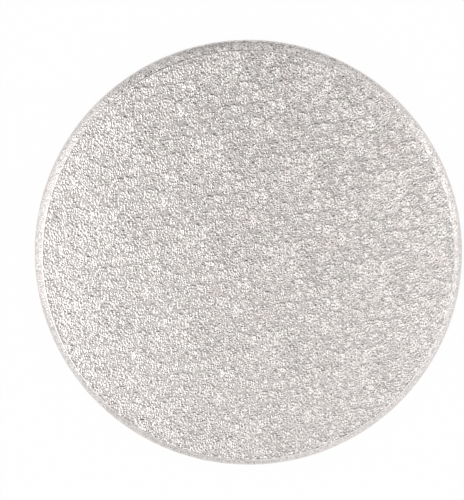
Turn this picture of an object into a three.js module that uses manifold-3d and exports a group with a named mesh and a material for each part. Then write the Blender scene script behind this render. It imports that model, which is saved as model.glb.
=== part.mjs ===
// A round cake board, 10 inch across and half an inch thick, lying face up.
// A greyboard disc is covered with embossed silver foil paper. The foil is drawn over a rounded
// shoulder, down the wall and under the board, where its spare width gathers in small pleats.
// A plain paper disc is glued over the turned-in hem. Millimetres, +Z up, and the origin is at
// the centre of the underside.

import * as THREE from "three";
import { mergeVertices } from "three/addons/utils/BufferGeometryUtils.js";
import Module from "manifold-3d";

// Overall size
const BOARD_DIAMETER = 254;
const BOARD_THICKNESS = 12;

// Sheets
const FOIL_THICKNESS = 0.2;
const PAPER_THICKNESS = 0.25;

// Rounded top edge, from the crease round the flat face to the top of the wall
const SHOULDER_WIDTH = 4.8;
const SHOULDER_DROP = 3.6;
const CREASE_ANGLE = 14;
const SHOULDER_FULLNESS = 0.52;

// Rounded bottom edge, the hem turned in below it, and the paper over the hem
const FOOT_RADIUS = 2.2;
const HEM_WIDTH = 17;
const PAPER_MARGIN = 6.5;

// Pleats of the hem, each one more layer of foil that widens away from the edge
const PLEAT_COUNT = 72;
const PLEAT_WIDTH_AT_PAPER = 1.1;
const PLEAT_WIDTH_AT_FOOT = 0.3;
const PLEAT_CLEARANCE = 0.3;

// Fineness of the curves, and how near two vertices are to count as one
const TURN_STEPS = 96;
const SHOULDER_STEPS = 6;
const FOOT_STEPS = 4;
const MERGE_DISTANCE = 0.0001;

const boardRadius = BOARD_DIAMETER / 2;
const creaseRadius = boardRadius - SHOULDER_WIDTH;
const wallTop = BOARD_THICKNESS - SHOULDER_DROP;
const hemFace = PAPER_THICKNESS;
const hemBack = hemFace + FOIL_THICKNESS;
const footCentreRadius = boardRadius - FOOT_RADIUS;
const footCentreHeight = hemFace + FOOT_RADIUS;
const hemRadius = boardRadius - HEM_WIDTH;
const paperRadius = boardRadius - PAPER_MARGIN;
const pleatFace = hemFace - FOIL_THICKNESS;
const pleatRoot = hemFace + FOIL_THICKNESS / 2;

const silverFoil = new THREE.MeshStandardMaterial({ color: 0xcdc9c6, metalness: 0.9, roughness: 0.35 });
const greyBoard = new THREE.MeshStandardMaterial({ color: 0x8f8676, metalness: 0, roughness: 0.95 });
const whitePaper = new THREE.MeshStandardMaterial({ color: 0xeeece6, metalness: 0, roughness: 0.85 });

const wasm = await Module();
wasm.setup();

// The rounded shoulder leaves the flat face at the crease angle and ends upright at the wall.
function shoulderCurve() {
  const slope = THREE.MathUtils.degToRad(CREASE_ANGLE);
  const reach = SHOULDER_WIDTH * SHOULDER_FULLNESS;
  const crease = new THREE.Vector2(creaseRadius, BOARD_THICKNESS);
  const leaving = new THREE.Vector2(Math.cos(slope), -Math.sin(slope)).multiplyScalar(reach);
  const wall = new THREE.Vector2(boardRadius, wallTop);
  const arriving = new THREE.Vector2(0, SHOULDER_DROP * SHOULDER_FULLNESS);
  return new THREE.CubicBezierCurve(crease, crease.clone().add(leaving), wall.clone().add(arriving), wall);
}

// The outside of the foil from the crease to the start of the flat hem, each point with its
// outward normal. The foil's inside and the board under it are this line set in by the foil.
function edgeLine() {
  const line = [];
  const curve = shoulderCurve();
  for (let i = 0; i <= SHOULDER_STEPS; i += 1) {
    const along = curve.getTangentAt(i / SHOULDER_STEPS);
    const normal = new THREE.Vector2(-along.y, along.x);
    line.push({ point: curve.getPointAt(i / SHOULDER_STEPS), normal });
  }
  for (let i = 0; i <= FOOT_STEPS; i += 1) {
    const turn = (i / FOOT_STEPS) * (Math.PI / 2);
    const normal = new THREE.Vector2(Math.cos(turn), -Math.sin(turn));
    const centre = new THREE.Vector2(footCentreRadius, footCentreHeight);
    line.push({ point: centre.addScaledVector(normal, FOOT_RADIUS), normal });
  }
  return line;
}

// The edge line set in by the foil's thickness, with the crease kept on the underside of the face.
function insideEdgeLine() {
  const line = edgeLine().map(({ point, normal }) => point.clone().addScaledVector(normal, -FOIL_THICKNESS));
  line[0].y = BOARD_THICKNESS - FOIL_THICKNESS;
  return line;
}

// Turns a profile about the board's axis. The profile runs anticlockwise, with radius as x.
function revolve(profile) {
  const geometry = new THREE.LatheGeometry(profile, TURN_STEPS);
  geometry.rotateX(Math.PI / 2);
  return geometry;
}

function toSolid(geometry) {
  const bare = geometry.clone();
  bare.deleteAttribute("normal");
  bare.deleteAttribute("uv");
  const merged = mergeVertices(bare, MERGE_DISTANCE);
  return new wasm.Manifold(
    new wasm.Mesh({
      numProp: 3,
      vertProperties: new Float32Array(merged.attributes.position.array),
      triVerts: new Uint32Array(merged.index.array),
    }),
  );
}

function toGeometry(solid) {
  const mesh = solid.getMesh();
  const geometry = new THREE.BufferGeometry();
  geometry.setAttribute("position", new THREE.BufferAttribute(mesh.vertProperties, 3));
  geometry.setIndex(new THREE.BufferAttribute(mesh.triVerts, 1));
  geometry.computeVertexNormals();
  return geometry;
}

// The foil without its pleats: face, shoulder, wall, foot and flat hem in one sheet.
function foilSheet() {
  const outside = edgeLine().map(({ point }) => point);
  const profile = [
    new THREE.Vector2(0, BOARD_THICKNESS - FOIL_THICKNESS),
    ...insideEdgeLine(),
    new THREE.Vector2(hemRadius, hemBack),
    new THREE.Vector2(hemRadius, hemFace),
    ...outside.reverse(),
    new THREE.Vector2(0, BOARD_THICKNESS),
  ];
  return revolve(profile);
}

// One pleat: a flat wedge of doubled foil under the hem, from the paper's edge to the foot.
// It starts inside the hem's own thickness, so that the two join as one sheet.
function pleat(index) {
  const inner = paperRadius + PLEAT_CLEARANCE;
  const outer = footCentreRadius;
  const outline = new THREE.Shape();
  outline.moveTo(inner, -PLEAT_WIDTH_AT_PAPER / 2);
  outline.lineTo(outer, -PLEAT_WIDTH_AT_FOOT / 2);
  outline.lineTo(outer, PLEAT_WIDTH_AT_FOOT / 2);
  outline.lineTo(inner, PLEAT_WIDTH_AT_PAPER / 2);
  outline.closePath();
  const wedge = new THREE.ExtrudeGeometry(outline, { depth: pleatRoot - pleatFace, bevelEnabled: false });
  wedge.translate(0, 0, pleatFace);
  wedge.rotateZ((index * 2 * Math.PI) / PLEAT_COUNT);
  return wedge;
}

function foilCover() {
  let solid = toSolid(foilSheet());
  for (let i = 0; i < PLEAT_COUNT; i += 1) solid = solid.add(toSolid(pleat(i)));
  const mesh = new THREE.Mesh(toGeometry(solid), silverFoil);
  mesh.name = "foil_cover";
  return mesh;
}

// The stiff board fills the foil. Its underside is pressed in by the thickness of the hem.
function boardCore() {
  const profile = [
    new THREE.Vector2(0, hemFace),
    new THREE.Vector2(hemRadius, hemFace),
    new THREE.Vector2(hemRadius, hemBack),
    ...insideEdgeLine().reverse(),
    new THREE.Vector2(0, BOARD_THICKNESS - FOIL_THICKNESS),
  ];
  const mesh = new THREE.Mesh(revolve(profile), greyBoard);
  mesh.name = "board_core";
  return mesh;
}

function backingPaper() {
  const profile = [
    new THREE.Vector2(0, 0),
    new THREE.Vector2(paperRadius, 0),
    new THREE.Vector2(paperRadius, PAPER_THICKNESS),
    new THREE.Vector2(0, PAPER_THICKNESS),
  ];
  const mesh = new THREE.Mesh(revolve(profile), whitePaper);
  mesh.name = "backing_paper";
  return mesh;
}

const cakeBoard = new THREE.Group();
cakeBoard.name = "cake_board";
cakeBoard.add(foilCover(), boardCore(), backingPaper());

export default cakeBoard;
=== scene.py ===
"""A round cake board covered with embossed silver foil paper, lying face up on a pale floor.

Everything is in metres, +Z up, in the board's own frame. Right is +X, and the far side, at the top
of the picture, is +Y. The foil is made flat, as one round sheet with its embossing, and is then
laid over the face, the shoulder, the wall and the hem.
"""
import math
import random

import bpy
import numpy as np
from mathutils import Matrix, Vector, noise
from mathutils.geometry import delaunay_2d_cdt


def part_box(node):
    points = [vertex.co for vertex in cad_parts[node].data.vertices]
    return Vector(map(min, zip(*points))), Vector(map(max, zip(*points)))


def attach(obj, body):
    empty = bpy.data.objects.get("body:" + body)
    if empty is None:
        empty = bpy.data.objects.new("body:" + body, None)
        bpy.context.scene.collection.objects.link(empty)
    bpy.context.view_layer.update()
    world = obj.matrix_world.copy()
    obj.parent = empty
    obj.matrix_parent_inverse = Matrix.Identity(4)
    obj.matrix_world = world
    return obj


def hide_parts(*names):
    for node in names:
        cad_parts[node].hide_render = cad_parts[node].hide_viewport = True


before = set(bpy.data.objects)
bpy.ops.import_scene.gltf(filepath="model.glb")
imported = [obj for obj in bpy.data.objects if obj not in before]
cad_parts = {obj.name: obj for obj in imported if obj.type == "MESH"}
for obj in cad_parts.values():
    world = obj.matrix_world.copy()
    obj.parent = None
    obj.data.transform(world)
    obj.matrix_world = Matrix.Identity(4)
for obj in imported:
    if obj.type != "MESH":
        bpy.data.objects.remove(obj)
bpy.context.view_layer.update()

MM = 0.001
WHITE = (1, 1, 1, 1)

# Sizes that the frame gives
board_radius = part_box("foil_cover")[1].x
board_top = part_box("foil_cover")[1].z
core_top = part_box("board_core")[1].z
hem_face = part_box("board_core")[0].z
paper_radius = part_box("backing_paper")[1].x
foil_thickness = board_top - core_top

# Section of the edge, as the frame's foil has it
SHOULDER_WIDTH = 4.8 * MM
SHOULDER_DROP = 3.6 * MM
CREASE_ANGLE = math.radians(14)
SHOULDER_FULLNESS = 0.52
FOOT_RADIUS = 2.2 * MM
HEM_WIDTH = 17 * MM
PLEAT_COUNT = 72

# The press set the crease a little off the board's centre
CREASE_SHIFT = 1.2 * MM
CREASE_BEAD_WIDTH = 0.35 * MM
CREASE_BEAD_DEPTH = 0.02 * MM

# Embossing: a pattern of fans that repeats by two slanting steps. The rings of a fan run round a
# focus off its middle, and each ring has ridges, called strokes, with low points between them
REPEAT = np.array([[52.9, -10.5], [10.2, 53.2]]) * MM
EMBOSS_SEED = 7
EMBOSS_DEPTH = 0.19 * MM
FAN_SPACING = 6.8 * MM
FAN_TRIES = 4000
FOCUS_SHIFT = 2.6 * MM

# Channels between fans, where a border runs near to level. Some fans overlap instead
NARROWEST_CHANNEL = -0.9 * MM
WIDEST_CHANNEL = 1.0 * MM
CHANNEL_SLOPE = 0.9

# Rings of strokes. The first begins FIRST_RING pitches from the focus, and the last LAST_RING fan
# spacings beyond the focus's shift. Lengths and staggers are shares of a stroke
STROKE_PITCH = 1.28 * MM
STROKE_LENGTH = 1.8 * MM
STROKE_GAP = 0.3 * MM
SHORTEST_STROKE = 0.5 * MM
FIRST_RING = 0.4
LAST_RING = 1.3
RING_LENGTHS = (0.75, 1.15)
FEWEST_STROKES = 3
STROKE_STAGGER = 0.2
STROKE_SAMPLES = 9

# How far strokes turn, in radians
STROKE_WANDER = 0.3
FAN_SWIRL = 0.5

# How strokes rise from the border of their fan, to heights that are shares of the embossing's depth
STROKE_RISE = 1.2 * MM
LOWEST_END = 0.45
LOWEST_FAN = 0.75
HEIGHT_SPREAD = 0.35

# Fineness of the foil, and how much of its thickness it has
CREASE_POINTS = 420
HEM_POINTS = 192
SECTION_STEPS = 40
INSIDE_STEPS = 20
INSIDE_SHARE = 0.97
SMALLEST_REACH = 1e-9

# Triangulation of the flat sheet: all of it, with points nearer than this, in millimetres, as one
WHOLE_SHEET = 0
SAME_POINT_MM = 1e-5

# Pleats of the hem. Their widths are in times their thickness
PLEAT_SEED = 11
PLEAT_THICKNESS_AT_PAPER = 0.17 * MM
PLEAT_THICKNESS_AT_WALL = 0.03 * MM
PLEAT_CLIMB = 3.5 * MM
PLEAT_PATH_STEPS = 14
PLEAT_SIDES = 4
PLEAT_CLEARANCE = 0.3 * MM
NARROWEST_PLEAT = 2.2
WIDEST_PLEAT = 5.0
PLEAT_WANDER = 0.3
PLEAT_UNEVENNESS = 0.25

# Rings of the paper disc: the inner ones as shares of the hem's radius, the outer ones past it
PAPER_SECTORS = 720
PAPER_INNER_RINGS = 7
PAPER_FIRST_RING = 0.15
PAPER_LAST_INNER_RING = 0.9
PAPER_OUTER_RINGS = 6
PAPER_OUTER_START = 2.5 * MM
PAPER_STEP_REACH = 0.6 * MM

# How the hem and its pleats show through the paper, and how it cockles
PAPER_RIDGE_WIDTH = 0.8 * MM
PAPER_RIDGE_HEIGHT = 0.06 * MM
PAPER_STEP = 0.05 * MM
PAPER_COCKLE = 0.025 * MM
COCKLE_SIZE = 22 * MM

# Finish of the foil. A span is the part of a cloudy pattern over which a change takes place
SILVER = (0.81, 0.772, 0.752, 1)
WARM_SILVER = (0.81, 0.755, 0.74, 1)
WARM_PATCH_SIZE = 14 * MM
WARM_PATCH_SPAN = (0.5, 0.72)
HAZE_SIZE = 4 * MM
HAZE_SPAN = (0.3, 0.7)
FOIL_ROUGHNESS = (0.05, 0.14)
FOIL_GRAIN_SIZE = 0.8 * MM
FOIL_GRAIN_DEPTH = 0.08 * MM

# Finish of the board
DARK_GREY = (0.33, 0.30, 0.25, 1)
LIGHT_GREY = (0.39, 0.36, 0.31, 1)
FLECK_BROWN = (0.2, 0.18, 0.15, 1)
BOARD_CLOUD_SIZE = 12 * MM
FLECK_SIZE = 0.9 * MM
FLECK_SPAN = (0.55, 0.7)
BOARD_ROUGHNESS = 0.95
BOARD_GRAIN_SIZE = 0.6 * MM
BOARD_GRAIN_DEPTH = 0.1 * MM

# Finish of the paper
OFF_WHITE = (0.86, 0.85, 0.81, 1)
DULL_WHITE = (0.82, 0.81, 0.77, 1)
FIBRE_BUFF = (0.76, 0.74, 0.69, 1)
FORMATION_SIZE = 3.5 * MM
FORMATION_SPAN = (0.35, 0.7)
FIBRE_SIZE = 0.4 * MM
FIBRE_SPAN = (0.6, 0.75)
PAPER_ROUGHNESS = 0.85
PAPER_GRAIN_SIZE = 0.5 * MM
PAPER_GRAIN_DEPTH = 0.03 * MM

# Camera and framing: the frame's height at the board, the sensor in millimetres, and how far the
# board lies right of the picture's middle and below it
CAMERA_TILT = math.radians(6.3)
CAMERA_DISTANCE = 1.4
CAMERA_CLIP = 0.01
FRAME_HEIGHT = 0.2976
SENSOR = 36
FRAME_PIXELS = 500
BOARD_RIGHT_PIXELS = 16.4
BOARD_DOWN_PIXELS = 4.0

# Light of the studio, as brightness seen in a mirror, where 1 is white, with angles from overhead
SKY_OVERHEAD = 0.62
SKY_PANELS = 0.4
SKY_DARKEST = 0.05
SKY_OVERHEAD_EDGE = math.radians(3)
SKY_SIDE_EDGE = math.radians(17)
SKY_SIDE_END = math.radians(24)
SKY_HORIZON_EDGE = math.radians(37)
SKY_LOWEST_EDGE = math.radians(65)
SKY_CLOUD_SCALE = 6.0
SKY_CLOUD_SPAN = (0.35, 0.65)
SKY_CLOUDINESS = 0.45

# Brightness to the left, right, near and far, in three bands from the sides down to the floor
SKY_SIDES = (1.25, 0.6, 1.05, 0.2)
SKY_HORIZON = (0.55, 0.8, 0.77, 0.78)
SKY_LOWEST = (1.05, 1.1, 0.7, 0.4)

# Floor, and the softboxes above the board's left and right
FLOOR_HALF = 3.0
FLOOR_PAINT = (0.9, 0.9, 0.9, 1)
FLOOR_ROUGHNESS = 0.9
FLOOR_GLOW = 0.97
FLOOR_SHEEN = 0.4
SOFTBOX_WIDTH = 0.4
SOFTBOX_LENGTH = 0.6
SOFTBOX_HEIGHT = 0.5
LEFT_SOFTBOX_X = -0.42
LEFT_SOFTBOX_LEVEL = 0.65
RIGHT_SOFTBOX_X = 0.43
RIGHT_SOFTBOX_LEVEL = 0.6

crease_radius = board_radius - SHOULDER_WIDTH
crease_clearance = CREASE_BEAD_WIDTH / 2 + STROKE_GAP / 2
wall_top = board_top - SHOULDER_DROP
hem_radius = board_radius - HEM_WIDTH
foot_centre = (board_radius - FOOT_RADIUS, hem_face + FOOT_RADIUS)


# The section of the edge

def shoulder_line():
    """Points of the shoulder from the crease to the wall, as (past the crease, height)."""
    reach = SHOULDER_WIDTH * SHOULDER_FULLNESS
    start = Vector((0, board_top))
    leaving = start + reach * Vector((math.cos(CREASE_ANGLE), -math.sin(CREASE_ANGLE)))
    end = Vector((SHOULDER_WIDTH, wall_top))
    arriving = end + Vector((0, SHOULDER_DROP * SHOULDER_FULLNESS))
    points = []
    for i in range(SECTION_STEPS + 1):
        t = i / SECTION_STEPS
        u = 1 - t
        points.append(u**3 * start + 3 * u * u * t * leaving + 3 * u * t * t * arriving + t**3 * end)
    return points


def foot_line():
    """Points of the rounded foot, from the wall to the flat hem."""
    points = []
    for i in range(SECTION_STEPS + 1):
        turn = math.pi / 2 * i / SECTION_STEPS
        across = foot_centre[0] - crease_radius + FOOT_RADIUS * math.cos(turn)
        points.append(Vector((across, foot_centre[1] - FOOT_RADIUS * math.sin(turn))))
    return points


class Section:
    """The outside of the foil past the crease, by the distance along it."""

    def __init__(self):
        shoulder = shoulder_line()
        hem_end = Vector((SHOULDER_WIDTH - HEM_WIDTH, hem_face))
        line = np.array([p[:] for p in shoulder + foot_line() + [hem_end]])
        steps = np.linalg.norm(np.diff(line, axis=0), axis=1)
        self.along = np.concatenate([[0], np.cumsum(steps)])
        self.across, self.height = line.T
        self.shoulder_length = self.along[len(shoulder) - 1]
        self.wall_end = self.along[len(shoulder)]
        self.length = self.along[-1]
        slope = np.gradient(line, self.along, axis=0)
        self.normal = np.column_stack([-slope[:, 1], slope[:, 0]])

    def at(self, distance, stretch):
        """Past-the-crease width, height and normal. The shoulder is wider by stretch."""
        shoulder = self.shoulder_length * stretch
        on_shoulder = distance < shoulder
        along = np.where(on_shoulder, distance / stretch, distance - shoulder + self.shoulder_length)
        across = np.interp(along, self.along, self.across)
        across = np.where(on_shoulder, across * stretch, across + SHOULDER_WIDTH * (stretch - 1))
        height = np.interp(along, self.along, self.height)
        out = np.interp(along, self.along, self.normal[:, 0]) / np.where(on_shoulder, stretch, 1)
        up = np.interp(along, self.along, self.normal[:, 1])
        size = np.hypot(out, up)
        return across, height, out / size, up / size


section = Section()
sheet_radius = crease_radius + section.length


def lay_over_board(flat, offset):
    """Takes points of the flat sheet to the board. Offset is how far each stands off the foil's line."""
    reach = np.maximum(np.linalg.norm(flat, axis=1), SMALLEST_REACH)
    way = flat / reach[:, None]
    crease = -CREASE_SHIFT * way[:, 1]
    crease = crease + np.sqrt(crease_radius**2 - (CREASE_SHIFT * way[:, 0]) ** 2)
    stretch = (board_radius - crease) / SHOULDER_WIDTH
    across, height, out, up = section.at(np.maximum(reach - crease, 0), stretch)
    on_face = reach <= crease
    radius = np.where(on_face, reach, crease + across + out * offset)
    height = np.where(on_face, board_top + offset, height + up * offset)
    return np.column_stack([way * radius[:, None], height])


# The embossing

def shortest(step):
    """The same steps, taken to the nearest copy of the repeating pattern."""
    share = step @ np.linalg.inv(REPEAT)
    return (share - np.round(share)) @ REPEAT


def fan_centres(rng):
    """Places of the fans in one repeat, spread evenly but at random."""
    centres = np.empty((0, 2))
    for _ in range(FAN_TRIES):
        spot = np.array([rng.random(), rng.random()]) @ REPEAT
        gaps = np.linalg.norm(shortest(centres - spot), axis=1)
        if not (gaps < FAN_SPACING).any():
            centres = np.vstack([centres, spot])
    return centres


def room_in_fan(points, fans, own):
    """How far inside its own fan each point lies, less the channel that a level border keeps."""
    centres, channels = fans
    steps = shortest(points[:, None, :] - centres[None, :, :])
    gaps = np.linalg.norm(steps, axis=2)
    own_gap = gaps[:, own].copy()
    gaps[:, own] = np.inf
    other = gaps.argmin(axis=1)
    rows = np.arange(len(points))
    between = steps[:, own] - steps[rows, other]
    level = np.abs(between[:, 1]) > CHANNEL_SLOPE * np.abs(between[:, 0])
    channel = np.where(level, (channels[own] + channels[other]) / 2, 0)
    return gaps[rows, other] - own_gap - channel


def ring_cells(rng, focus):
    """The cells of one fan round its focus, ridges and low points by turns.

    Each is where it lies, which way it runs, its length and whether it is a ridge.
    """
    cells = []
    inner = STROKE_PITCH * FIRST_RING
    while inner < FAN_SPACING * LAST_RING + FOCUS_SHIFT:
        length = STROKE_LENGTH * rng.uniform(*RING_LENGTHS)
        middle = inner + length / 2
        count = max(FEWEST_STROKES, round(2 * math.pi * middle / STROKE_PITCH))
        first = rng.uniform(0, 2 * math.pi)
        for i in range(2 * count):
            turn = first + math.pi * i / count
            shift = rng.uniform(-STROKE_STAGGER, STROKE_STAGGER) * length
            spot = focus + (middle + shift) * np.array([math.cos(turn), math.sin(turn)])
            cells.append((spot, turn, length, i % 2 == 0))
        inner += length
    return cells


def fan_marks(rng, fans, own):
    """One fan's ridges, each with its two ends and their heights, and the low points between them."""
    lean = rng.uniform(0, 2 * math.pi)
    swirl = rng.uniform(-FAN_SWIRL, FAN_SWIRL)
    relief = rng.uniform(LOWEST_FAN, 1)
    focus = fans[0][own] - FOCUS_SHIFT * np.array([math.cos(lean), math.sin(lean)])
    ridges, lows = [], []
    shares = np.linspace(-0.5, 0.5, STROKE_SAMPLES)[:, None]
    for spot, turn, length, is_ridge in ring_cells(rng, focus):
        angle = turn + swirl + rng.uniform(-STROKE_WANDER, STROKE_WANDER)
        height = relief * (1 - HEIGHT_SPREAD * rng.random())
        if not is_ridge:
            if room_in_fan(spot[None], fans, own)[0] > 0:
                lows.append(spot)
            continue
        run = (length - STROKE_GAP) * np.array([math.cos(angle), math.sin(angle)])
        points = spot + shares * run
        room = room_in_fan(points, fans, own)
        kept = np.flatnonzero(room > 0)
        if len(kept) < 2:
            continue
        ends = points[kept[[0, -1]]]
        if np.linalg.norm(ends[1] - ends[0]) > SHORTEST_STROKE:
            ridges.append((ends, height * np.clip(room[kept[[0, -1]]] / STROKE_RISE, LOWEST_END, 1)))
    return ridges, lows


def one_repeat():
    """Every ridge of one repeat as its ends and their heights from 0 to 1, and every low point."""
    rng = random.Random(EMBOSS_SEED)
    centres = fan_centres(rng)
    channels = np.array([rng.uniform(NARROWEST_CHANNEL, WIDEST_CHANNEL) for _ in centres])
    ridges, lows = [], []
    for own in range(len(centres)):
        fan_ridges, fan_lows = fan_marks(rng, (centres, channels), own)
        ridges += fan_ridges
        lows += fan_lows
    ends, heights = zip(*ridges)
    return np.array(ends), np.array(heights), np.array(lows)


def crossing(first, last, radius):
    """Where the line through two points crosses a circle about the origin, for many lines at once."""
    way = last - first
    square = (way**2).sum(axis=1)
    lean = (first * way).sum(axis=1)
    beyond = (first**2).sum(axis=1) - radius**2
    root = np.sqrt(np.maximum(lean**2 - square * beyond, 0))
    sign = np.where(np.linalg.norm(last, axis=1) > np.linalg.norm(first, axis=1), 1, -1)
    return first + way * ((-lean + sign * root) / square)[:, None]


def cut_at_crease(ends, heights):
    """Cuts ridges where they cross the crease's bead, and keeps the parts inside and outside it."""
    centre = np.array([0, -CREASE_SHIFT])
    first, last = ends[:, 0] - centre, ends[:, 1] - centre
    pieces = []
    for side in (-1, 1):
        limit = crease_radius + side * crease_clearance
        keep_first = side * np.linalg.norm(first, axis=1) > side * limit
        keep_last = side * np.linalg.norm(last, axis=1) > side * limit
        cut = crossing(first, last, limit)
        new_first = np.where(keep_first[:, None], first, cut) + centre
        new_last = np.where(keep_last[:, None], last, cut) + centre
        long_enough = np.linalg.norm(new_last - new_first, axis=1) > SHORTEST_STROKE
        good = (keep_first | keep_last) & long_enough
        pieces.append((np.stack([new_first[good], new_last[good]], axis=1), heights[good]))
    return [np.concatenate(parts) for parts in zip(*pieces)]


def marks_on_sheet(limit):
    """The repeat's ridges and low points laid side by side over the flat sheet, out to a limit."""
    ends, heights, lows = one_repeat()
    span = math.ceil(2 * sheet_radius / np.linalg.norm(REPEAT, axis=1).min())
    steps = [(i, j) for i in range(-span, span + 1) for j in range(-span, span + 1)]
    moves = np.array(steps) @ REPEAT
    ends = (ends[None] + moves[:, None, None]).reshape(-1, 2, 2)
    heights = np.tile(heights, (len(moves), 1))
    lows = (lows[None] + moves[:, None]).reshape(-1, 2)
    near = np.linalg.norm(ends, axis=2).max(axis=1) < limit
    ends, heights = cut_at_crease(ends[near], heights[near])
    from_crease = np.linalg.norm(lows + [0, CREASE_SHIFT], axis=1) - crease_radius
    clear = np.abs(from_crease) > crease_clearance
    lows = lows[clear & (np.linalg.norm(lows, axis=1) < limit)]
    return ends, heights, lows


# The foil

def ring(radius, count, centre_y=0.0):
    """Points evenly round a circle, as (x, y)."""
    turns = np.arange(count) * 2 * math.pi / count
    return np.column_stack([np.cos(turns), np.sin(turns)]) * radius + [0, centre_y]


def plain_rings(emboss_limit):
    """The crease's bead, the ring where the embossing ends, and last the hem's end.

    Each is its radius, its number of points, its middle's y and how far it stands off.
    """
    bead = CREASE_BEAD_WIDTH / 2
    return (
        (crease_radius - bead, CREASE_POINTS, -CREASE_SHIFT, -CREASE_BEAD_DEPTH),
        (crease_radius + bead, CREASE_POINTS, -CREASE_SHIFT, -CREASE_BEAD_DEPTH),
        (emboss_limit + STROKE_GAP, CREASE_POINTS, 0, -EMBOSS_DEPTH),
        (sheet_radius, HEM_POINTS, 0, 0),
    )


def flat_sheet():
    """The flat sheet's points, how far each stands off the foil's line, and the edges to keep."""
    emboss_limit = crease_radius + section.length - (paper_radius - hem_radius) + STROKE_LENGTH
    ends, heights, lows = marks_on_sheet(emboss_limit)
    count = len(ends)
    flat = [ends[:, 0], ends[:, 1], lows]
    offsets = [(heights[:, 0] - 1) * EMBOSS_DEPTH, (heights[:, 1] - 1) * EMBOSS_DEPTH]
    offsets.append(np.full(len(lows), -EMBOSS_DEPTH))
    edges = [(i, i + count) for i in range(count)]
    filled = 2 * count + len(lows)
    for radius, number, centre_y, offset in plain_rings(emboss_limit):
        flat.append(ring(radius, number, centre_y))
        offsets.append(np.full(number, offset))
        edges += [(filled + i, filled + (i + 1) % number) for i in range(number)]
        filled += number
    return np.concatenate(flat), np.concatenate(offsets), edges


def foil_outside():
    """The embossed side of the foil: points on the board, faces, and the hem's end ring."""
    flat, offsets, edges = flat_sheet()
    spots = [Vector(p) for p in flat / MM]
    made, _, faces, origins, _, _ = delaunay_2d_cdt(spots, edges, [], WHOLE_SHEET, SAME_POINT_MM)
    points = np.array([p[:] for p in made]) * MM
    source = np.array([ids[0] if ids else -1 for ids in origins])
    offset = np.where(source < 0, -EMBOSS_DEPTH, offsets[source])
    hem_points = range(len(flat) - HEM_POINTS, len(flat))
    place = {int(s): i for i, s in enumerate(source) if s in hem_points}
    return lay_over_board(points, offset), [tuple(f) for f in faces], [place[i] for i in hem_points]


def inside_rings(depth):
    """Rings of the line that lies under the foil by depth, from the face to the hem's end.

    The first lies wholly inside the shifted crease, so that the face stays flat up to it.
    """
    steps = np.linspace(0, section.length, INSIDE_STEPS)
    reaches = np.concatenate([[crease_radius - 2 * CREASE_SHIFT], crease_radius + steps])
    sheet = [ring(reach, HEM_POINTS) for reach in reaches]
    return lay_over_board(np.concatenate(sheet), np.full(len(sheet) * HEM_POINTS, -depth))


def foil_mesh():
    """One closed sheet: the embossed outside, the plain inside and the hem's cut end."""
    outside, faces, hem_end = foil_outside()
    depth = INSIDE_SHARE * foil_thickness
    inside = inside_rings(depth)
    base = len(outside)
    middle = base + len(inside)
    points = np.concatenate([outside, inside, [[0, 0, board_top - depth]]])
    rings_made = len(inside) // HEM_POINTS
    for i in range(HEM_POINTS):
        j = (i + 1) % HEM_POINTS
        faces.append((middle, base + j, base + i))
        for k in range(rings_made - 1):
            near, far = base + k * HEM_POINTS, base + (k + 1) * HEM_POINTS
            faces.append((near + i, near + j, far + j, far + i))
        last = base + (rings_made - 1) * HEM_POINTS
        faces.append((last + i, last + j, hem_end[j], hem_end[i]))
    return new_mesh("foil_cover_embossed", points, faces)


def new_mesh(name, points, faces):
    mesh = bpy.data.meshes.new(name)
    mesh.from_pydata([tuple(p) for p in points], [], faces)
    mesh.validate()
    return mesh


def turned_mesh(name, rings, count, top, bottom):
    """A closed body from rings of points, from its top middle out and down to its bottom middle."""
    points = np.concatenate([rings, [[0, 0, top], [0, 0, bottom]]])
    over, under = len(rings), len(rings) + 1
    last = len(rings) - count
    faces = []
    for i in range(count):
        j = (i + 1) % count
        faces.append((over, i, j))
        faces.append((under, last + j, last + i))
        for start in range(0, last, count):
            faces.append((start + i, start + count + i, start + count + j, start + j))
    return new_mesh(name, points, faces)


# The board inside the foil

def core_mesh():
    """The board, which fills the foil and is pressed in over the hem."""
    rings = inside_rings(foil_thickness)
    recess = ring(hem_radius, HEM_POINTS)
    rings = np.concatenate([rings, np.column_stack([recess, np.full(HEM_POINTS, hem_face)])])
    return turned_mesh("board_core_pressed", rings, HEM_POINTS, core_top, hem_face)


# Trees of nodes

class Wire:
    """An output of a node, with Python's arithmetic on it."""

    def __init__(self, nodes, socket):
        self.nodes = nodes
        self.socket = socket

    def maths(self, operation, first, second):
        return self.nodes.node("ShaderNodeMath", {"operation": operation}, {0: first, 1: second})

    def __add__(self, other):
        return self.maths("ADD", self, other)

    def __sub__(self, other):
        return self.maths("SUBTRACT", self, other)

    def __rsub__(self, other):
        return self.maths("SUBTRACT", other, self)

    def __mul__(self, other):
        return self.maths("MULTIPLY", self, other)

    __radd__ = __add__
    __rmul__ = __mul__


class Nodes:
    """A tree of nodes being put together."""

    def __init__(self, tree):
        self.tree = tree

    def node(self, kind, settings=None, inputs=None, output=0):
        """Adds a node with its settings and the values or links of its inputs."""
        made = self.tree.nodes.new(kind)
        for name, value in (settings or {}).items():
            setattr(made, name, value)
        self.feed(made, inputs or {})
        return Wire(self, made.outputs[output])

    def feed(self, made, inputs):
        for name, value in inputs.items():
            if isinstance(value, Wire):
                self.tree.links.new(value.socket, made.inputs[name])
            else:
                made.inputs[name].default_value = value


# The pleats of the hem

def pleat_turns():
    """Where each pleat lies round the board, and how wide it is."""
    rng = random.Random(PLEAT_SEED)
    step = 2 * math.pi / PLEAT_COUNT
    turns = [step * (i + rng.uniform(-PLEAT_WANDER, PLEAT_WANDER)) for i in range(PLEAT_COUNT)]
    widths = [rng.uniform(NARROWEST_PLEAT, WIDEST_PLEAT) for _ in range(PLEAT_COUNT)]
    return turns, widths


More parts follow.
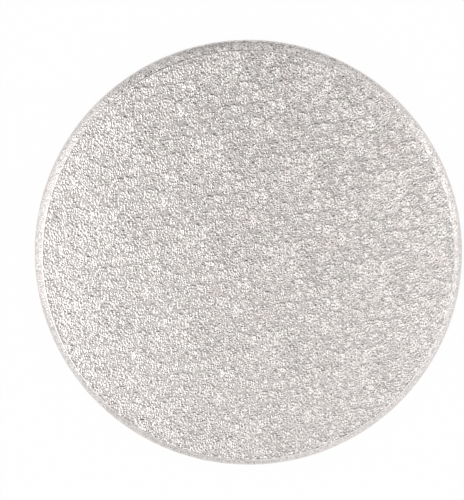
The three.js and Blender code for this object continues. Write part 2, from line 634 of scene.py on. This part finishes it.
def pleat_path():
    """The line that a pleat follows, from the paper's edge round the foot and up the wall."""
    start = section.length - (paper_radius - hem_radius) - PLEAT_CLEARANCE
    end = section.wall_end - PLEAT_CLIMB
    points = []
    for distance in np.linspace(start, end, PLEAT_PATH_STEPS):
        across, height, _, _ = section.at(np.array([distance]), np.array([1.0]))
        points.append((crease_radius + across[0] - paper_radius, 0, height[0]))
    mesh = bpy.data.meshes.new("pleat_path")
    mesh.from_pydata(points, [(i, i + 1) for i in range(len(points) - 1)], [])
    path = bpy.data.objects.new("pleat_path", mesh)
    bpy.context.scene.collection.objects.link(path)
    return path


class Shaping(Nodes):
    """A tree of geometry nodes, with named inputs."""

    def __init__(self, name):
        super().__init__(bpy.data.node_groups.new(name, "GeometryNodeTree"))
        self.tree.interface.new_socket("Geometry", in_out="OUTPUT", socket_type="NodeSocketGeometry")
        self.entry = self.tree.nodes.new("NodeGroupInput")

    def named(self, name, kind):
        """Adds a named input to the tree."""
        self.tree.interface.new_socket(name, in_out="INPUT", socket_type="NodeSocket" + kind)
        return Wire(self, self.entry.outputs[name])

    def finish(self, geometry, material):
        solid = self.node("GeometryNodeRealizeInstances", {}, {"Geometry": geometry})
        dressed = self.node("GeometryNodeSetMaterial", {}, {"Geometry": solid, "Material": material})
        self.feed(self.tree.nodes.new("NodeGroupOutput"), {"Geometry": dressed})
        return self.tree


def pleat_tree():
    """Pleats that follow a path, one at each point of a ring, facing away from its middle.

    Inputs 2 and 3 of the random value are its least and its most, and output 1 is the value.
    """
    tree = Shaping("pleats_round_hem")
    places = tree.named("Places", "Geometry")
    path = tree.named("Path", "Object")
    start = tree.named("Thickness at Paper", "Float")
    end = tree.named("Thickness at Wall", "Float")
    unevenness = tree.named("Unevenness", "Float")
    seed = tree.named("Seed", "Int")
    material = tree.named("Material", "Material")
    line = tree.node("GeometryNodeObjectInfo", {}, {"Object": path}, output="Geometry")
    line = tree.node("GeometryNodeMeshToCurve", {}, {"Mesh": line})
    along = tree.node("GeometryNodeSplineParameter")
    taper = tree.node("ShaderNodeMapRange", {}, {"Value": along, "To Min": start, "To Max": end})
    outline = {"Resolution": PLEAT_SIDES, "Radius": 1.0}
    profile = tree.node("GeometryNodeCurvePrimitiveCircle", {}, outline)
    sweep = {"Curve": line, "Profile Curve": profile, "Scale": taper, "Fill Caps": True}
    fold = tree.node("GeometryNodeCurveToMesh", {}, sweep)
    place = tree.node("GeometryNodeInputPosition")
    facing = tree.node("FunctionNodeAlignRotationToVector", {"axis": "X"}, {"Vector": place})
    width = tree.node("GeometryNodeInputNamedAttribute", {"data_type": "FLOAT"}, {"Name": "width"})
    limits = {2: 1.0, 3: unevenness + 1.0, "Seed": seed}
    vary = tree.node("FunctionNodeRandomValue", {}, limits, output=1)
    scale = tree.node("ShaderNodeCombineXYZ", {}, {"X": 1.0, "Y": width * vary, "Z": 1.0})
    placed = {"Points": places, "Instance": fold, "Rotation": facing, "Scale": scale}
    pleats = tree.node("GeometryNodeInstanceOnPoints", {}, placed)
    return tree.finish(pleats, material)


def run_tree(group, carrier, values):
    """Runs a tree on an object and returns the plain mesh that it makes."""
    modifier = carrier.modifiers.new("shape", "NODES")
    modifier.node_group = group
    for item in group.interface.items_tree:
        if item.in_out == "INPUT" and item.name in values:
            modifier[item.identifier] = values[item.name]
    shaped = carrier.evaluated_get(bpy.context.evaluated_depsgraph_get())
    mesh = bpy.data.meshes.new_from_object(shaped)
    carrier.modifiers.remove(modifier)
    return mesh


def pleats_mesh(material):
    """All pleats as one mesh. The helpers that they are made from are taken away again."""
    turns, widths = pleat_turns()
    spots = [(paper_radius * math.cos(t), paper_radius * math.sin(t), 0) for t in turns]
    mesh = bpy.data.meshes.new("pleat_places")
    mesh.from_pydata(spots, [], [])
    mesh.attributes.new("width", "FLOAT", "POINT").data.foreach_set("value", widths)
    carrier = bpy.data.objects.new("pleat_places", mesh)
    bpy.context.scene.collection.objects.link(carrier)
    path = pleat_path()
    made = run_tree(pleat_tree(), carrier, {
        "Path": path,
        "Thickness at Paper": PLEAT_THICKNESS_AT_PAPER,
        "Thickness at Wall": PLEAT_THICKNESS_AT_WALL,
        "Unevenness": PLEAT_UNEVENNESS,
        "Seed": PLEAT_SEED,
        "Material": material,
    })
    for helper in (carrier, path):
        bpy.data.objects.remove(helper)
    return made


# The paper over the hem

def paper_reaches():
    """Radii of the paper's rings. Two lie close together, where the paper steps over the hem's end."""
    inner = np.linspace(PAPER_FIRST_RING, PAPER_LAST_INNER_RING, PAPER_INNER_RINGS) * hem_radius
    step = np.array([hem_radius - PAPER_STEP_REACH, hem_radius + PAPER_STEP_REACH])
    outer = np.linspace(hem_radius + PAPER_OUTER_START, paper_radius, PAPER_OUTER_RINGS)
    return np.concatenate([inner, step, outer])


def ridges_round_paper():
    """How strongly the pleats show at each sector of the paper's rim, from 0 to 1."""
    angles = np.arange(PAPER_SECTORS) * 2 * math.pi / PAPER_SECTORS
    ridges = np.zeros(PAPER_SECTORS)
    for turn, width in zip(*pleat_turns()):
        gap = (angles - turn + math.pi) % (2 * math.pi) - math.pi
        ridges += (width / WIDEST_PLEAT) * np.exp(-((gap * paper_radius / PAPER_RIDGE_WIDTH) ** 2))
    return np.minimum(ridges, 1)


def paper_mesh():
    """The paper disc. The hem and its pleats press faint ridges through its outer part."""
    ridges = ridges_round_paper()
    rim = ring(paper_radius, PAPER_SECTORS)
    rings = [np.column_stack([rim, np.full(PAPER_SECTORS, hem_face)])]
    for reach in paper_reaches()[::-1]:
        flat = ring(reach, PAPER_SECTORS)
        rise = np.array([noise.noise(Vector((*p, 0)) / COCKLE_SIZE) for p in flat])
        height = PAPER_COCKLE * (1 + rise)
        if reach > hem_radius:
            share = (reach - hem_radius) / (paper_radius - hem_radius)
            height = height + PAPER_STEP - PAPER_RIDGE_HEIGHT * share * ridges
        rings.append(np.column_stack([flat, np.maximum(height, 0)]))
    rings = np.concatenate(rings)
    return turned_mesh("backing_paper_pressed", rings, PAPER_SECTORS, hem_face, PAPER_COCKLE)


# Materials

class Recipe(Nodes):
    """The nodes of a material or of the world."""

    def __init__(self, owner):
        owner.use_nodes = True
        super().__init__(owner.node_tree)
        self.owner = owner

    def noise(self, size, detail=2.0, roughness=0.5):
        """Cloudy values about a half, with patches of about the given size."""
        place = self.node("ShaderNodeTexCoord", output="Object")
        inputs = {"Vector": place, "Scale": 1 / size, "Detail": detail, "Roughness": roughness}
        return self.node("ShaderNodeTexNoise", {}, inputs)

    def ramp(self, value, low, high, start=0.0, end=1.0):
        """Goes smoothly from start to end while the value goes from low to high."""
        settings = {"interpolation_type": "SMOOTHSTEP"}
        inputs = {"Value": value, "From Min": low, "From Max": high, "To Min": start, "To Max": end}
        return self.node("ShaderNodeMapRange", settings, inputs)

    def blend(self, share, first, second):
        """Mixes two colours. Input 0 is the share, 6 and 7 are the colours, and output 2 is a colour."""
        return self.node("ShaderNodeMix", {"data_type": "RGBA"}, {0: share, 6: first, 7: second}, output=2)

    def bump(self, height, depth):
        return self.node("ShaderNodeBump", {}, {"Height": height, "Distance": depth})

    def finish(self, **inputs):
        """Sets the shader's inputs, with the spaces of their names written as underscores."""
        shader = self.tree.nodes["Principled BSDF"]
        self.feed(shader, {name.replace("_", " "): value for name, value in inputs.items()})
        return self.owner


def foil_material():
    """Bright silver foil with faintly warmer patches, a haze that dulls it in places, and a grain."""
    recipe = Recipe(bpy.data.materials.new("embossed_silver_foil"))
    warmth = recipe.ramp(recipe.noise(WARM_PATCH_SIZE, detail=3.0), *WARM_PATCH_SPAN)
    grain = recipe.noise(FOIL_GRAIN_SIZE, detail=1.0)
    return recipe.finish(
        Base_Color=recipe.blend(warmth, SILVER, WARM_SILVER),
        Metallic=1.0,
        Roughness=recipe.ramp(recipe.noise(HAZE_SIZE), *HAZE_SPAN, *FOIL_ROUGHNESS),
        Normal=recipe.bump(grain, FOIL_GRAIN_DEPTH),
    )


def greyboard_material():
    """Matte grey board in two greys, with dark flecks."""
    recipe = Recipe(bpy.data.materials.new("grey_board"))
    flecks = recipe.ramp(recipe.noise(FLECK_SIZE, detail=4.0, roughness=0.7), *FLECK_SPAN)
    grey = recipe.blend(recipe.noise(BOARD_CLOUD_SIZE), DARK_GREY, LIGHT_GREY)
    return recipe.finish(
        Base_Color=recipe.blend(flecks, grey, FLECK_BROWN),
        Roughness=BOARD_ROUGHNESS,
        Normal=recipe.bump(recipe.noise(BOARD_GRAIN_SIZE, detail=4.0), BOARD_GRAIN_DEPTH),
    )


def paper_material():
    """Matte off-white paper, a little uneven, with fibres."""
    recipe = Recipe(bpy.data.materials.new("off_white_paper"))
    cloudy = recipe.noise(FORMATION_SIZE, detail=4.0, roughness=0.6)
    fibres = recipe.ramp(recipe.noise(FIBRE_SIZE, detail=3.0, roughness=0.7), *FIBRE_SPAN)
    white = recipe.blend(recipe.ramp(cloudy, *FORMATION_SPAN), OFF_WHITE, DULL_WHITE)
    grain = recipe.noise(PAPER_GRAIN_SIZE, detail=4.0, roughness=0.6)
    return recipe.finish(
        Base_Color=recipe.blend(fibres, white, FIBRE_BUFF),
        Roughness=PAPER_ROUGHNESS,
        Normal=recipe.bump(grain, PAPER_GRAIN_DEPTH),
    )


def add_piece(name, mesh, material, node=None):
    """Puts a piece in the scene. Node is the part of the frame that it stands for."""
    mesh.materials.clear()
    mesh.materials.append(material)
    piece = bpy.data.objects.new(name, mesh)
    bpy.context.scene.collection.objects.link(piece)
    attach(piece, "root")
    if node:
        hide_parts(node)


# Studio

def softbox(name, place_x, level):
    """A level panel that faces down. At a level of 1 it shows as white in a mirror."""
    light = bpy.data.lights.new(name, "AREA")
    light.shape = "RECTANGLE"
    light.size = SOFTBOX_WIDTH
    light.size_y = SOFTBOX_LENGTH
    light.energy = level * math.pi * SOFTBOX_WIDTH * SOFTBOX_LENGTH
    lamp = bpy.data.objects.new(name, light)
    lamp.location = (place_x, 0, SOFTBOX_HEIGHT)
    lamp.visible_camera = False
    bpy.context.scene.collection.objects.link(lamp)


def build_camera():
    """A camera high above the board and a little to the far side, tilted to look at its middle."""
    camera = bpy.data.cameras.new("camera")
    camera.sensor_width = SENSOR
    camera.lens = SENSOR * CAMERA_DISTANCE / FRAME_HEIGHT
    camera.shift_x = -BOARD_RIGHT_PIXELS / FRAME_PIXELS
    camera.shift_y = BOARD_DOWN_PIXELS / FRAME_PIXELS
    camera.clip_start = CAMERA_CLIP
    holder = bpy.data.objects.new("camera", camera)
    rise = CAMERA_DISTANCE * math.cos(CAMERA_TILT)
    holder.location = (0, CAMERA_DISTANCE * math.sin(CAMERA_TILT), rise + board_top / 2)
    holder.rotation_euler = (-CAMERA_TILT, 0, 0)
    bpy.context.scene.collection.objects.link(holder)
    bpy.context.scene.camera = holder


def build_floor():
    """A pale floor that glows: the camera sees it near to white, and the foil mirrors it as grey."""
    corners = [(-1, -1), (1, -1), (1, 1), (-1, 1)]
    mesh = new_mesh("floor", [(FLOOR_HALF * x, FLOOR_HALF * y, 0) for x, y in corners], [(0, 1, 2, 3)])
    recipe = Recipe(bpy.data.materials.new("pale_floor"))
    recipe.finish(Base_Color=FLOOR_PAINT, Roughness=FLOOR_ROUGHNESS)
    seen = recipe.node("ShaderNodeLightPath", output="Is Camera Ray") * FLOOR_GLOW
    for kind in ("Is Glossy Ray", "Is Transmission Ray"):
        seen = seen + recipe.node("ShaderNodeLightPath", output=kind) * FLOOR_SHEEN
    glow = recipe.node("ShaderNodeEmission", {}, {"Color": WHITE, "Strength": 1.0})
    plain = Wire(recipe, recipe.tree.nodes["Principled BSDF"].outputs[0])
    mixed = recipe.node("ShaderNodeMixShader", {}, {0: seen, 1: plain, 2: glow})
    recipe.feed(recipe.tree.nodes["Material Output"], {"Surface": mixed})
    mesh.materials.append(recipe.owner)
    floor = bpy.data.objects.new("floor", mesh)
    bpy.context.scene.collection.objects.link(floor)


def sky_ways(recipe):
    """Each way into the sky, how far it lies to the right and to the far side, and how far up.

    It is measured from a middle that leans to the near side by the camera's tilt, where the flat
    foil mirrors it.
    """
    way = recipe.node("ShaderNodeTexCoord", output="Generated")
    leaning = {"Vector": way, "Angle": -CAMERA_TILT}
    way = recipe.node("ShaderNodeVectorRotate", {"rotation_type": "X_AXIS"}, leaning)
    flat = recipe.node("ShaderNodeVectorMath", {"operation": "MULTIPLY"}, {0: way, 1: (1, 1, 0)})
    flat = recipe.node("ShaderNodeVectorMath", {"operation": "NORMALIZE"}, {0: flat})
    right = recipe.node("ShaderNodeSeparateXYZ", {}, {0: flat}, output="X")
    far = recipe.node("ShaderNodeSeparateXYZ", {}, {0: flat}, output="Y")
    up = recipe.node("ShaderNodeSeparateXYZ", {}, {0: way}, output="Z")
    return way, right, far, up


def round_about(right, far, levels):
    """A level that changes smoothly from side to side. The levels are left, right, near and far."""
    on_left, on_right, near, away = levels
    middle = (near + away) / 2
    level = middle + far * ((away - near) / 2) + right * ((on_right - on_left) / 2)
    return level + right * right * ((on_left + on_right) / 2 - middle)


def three_panels(right):
    """Soft panels to the left, far right and near right: the sine of three times the turn."""
    return (right * 3 - right * right * right * 4) * SKY_PANELS


def down_from(recipe, up, start, end):
    """Goes from 0 to 1 between two angles from overhead."""
    return recipe.ramp(up, math.cos(end), math.cos(start), 1.0, 0.0)


def build_world():
    """Soft light from overhead, from all round, and from two bands with soft clouds near the floor."""
    recipe = Recipe(bpy.data.worlds.new("studio"))
    bpy.context.scene.world = recipe.owner
    way, right, far, up = sky_ways(recipe)
    sides = round_about(right, far, SKY_SIDES) + three_panels(right)
    horizon = round_about(right, far, SKY_HORIZON)
    lowest = round_about(right, far, SKY_LOWEST)
    low = horizon + (lowest - horizon) * down_from(recipe, up, SKY_HORIZON_EDGE, SKY_LOWEST_EDGE)
    pattern = {"Vector": way, "Scale": SKY_CLOUD_SCALE, "Detail": 1.0}
    clouds = recipe.node("ShaderNodeTexNoise", {}, pattern)
    clouds = recipe.ramp(clouds, *SKY_CLOUD_SPAN, 1 - SKY_CLOUDINESS, 1 + SKY_CLOUDINESS)
    around = sides + (low * clouds - sides) * down_from(recipe, up, SKY_SIDE_END, SKY_HORIZON_EDGE)
    around = around.maths("MAXIMUM", around, SKY_DARKEST)
    share = down_from(recipe, up, SKY_OVERHEAD_EDGE, SKY_SIDE_EDGE)
    strength = SKY_OVERHEAD + (around - SKY_OVERHEAD) * share
    recipe.feed(recipe.tree.nodes["Background"], {"Color": WHITE, "Strength": strength})


build_camera()
build_floor()
build_world()
softbox("left_softbox", LEFT_SOFTBOX_X, LEFT_SOFTBOX_LEVEL)
softbox("right_softbox", RIGHT_SOFTBOX_X, RIGHT_SOFTBOX_LEVEL)

silver_foil = foil_material()
add_piece("embossed_foil", foil_mesh(), silver_foil, "foil_cover")
add_piece("hem_pleats", pleats_mesh(silver_foil), silver_foil)
add_piece("pressed_board", core_mesh(), greyboard_material(), "board_core")
add_piece("paper_disc", paper_mesh(), paper_material(), "backing_paper")
bpy.context.scene.view_settings.view_transform = "Standard"
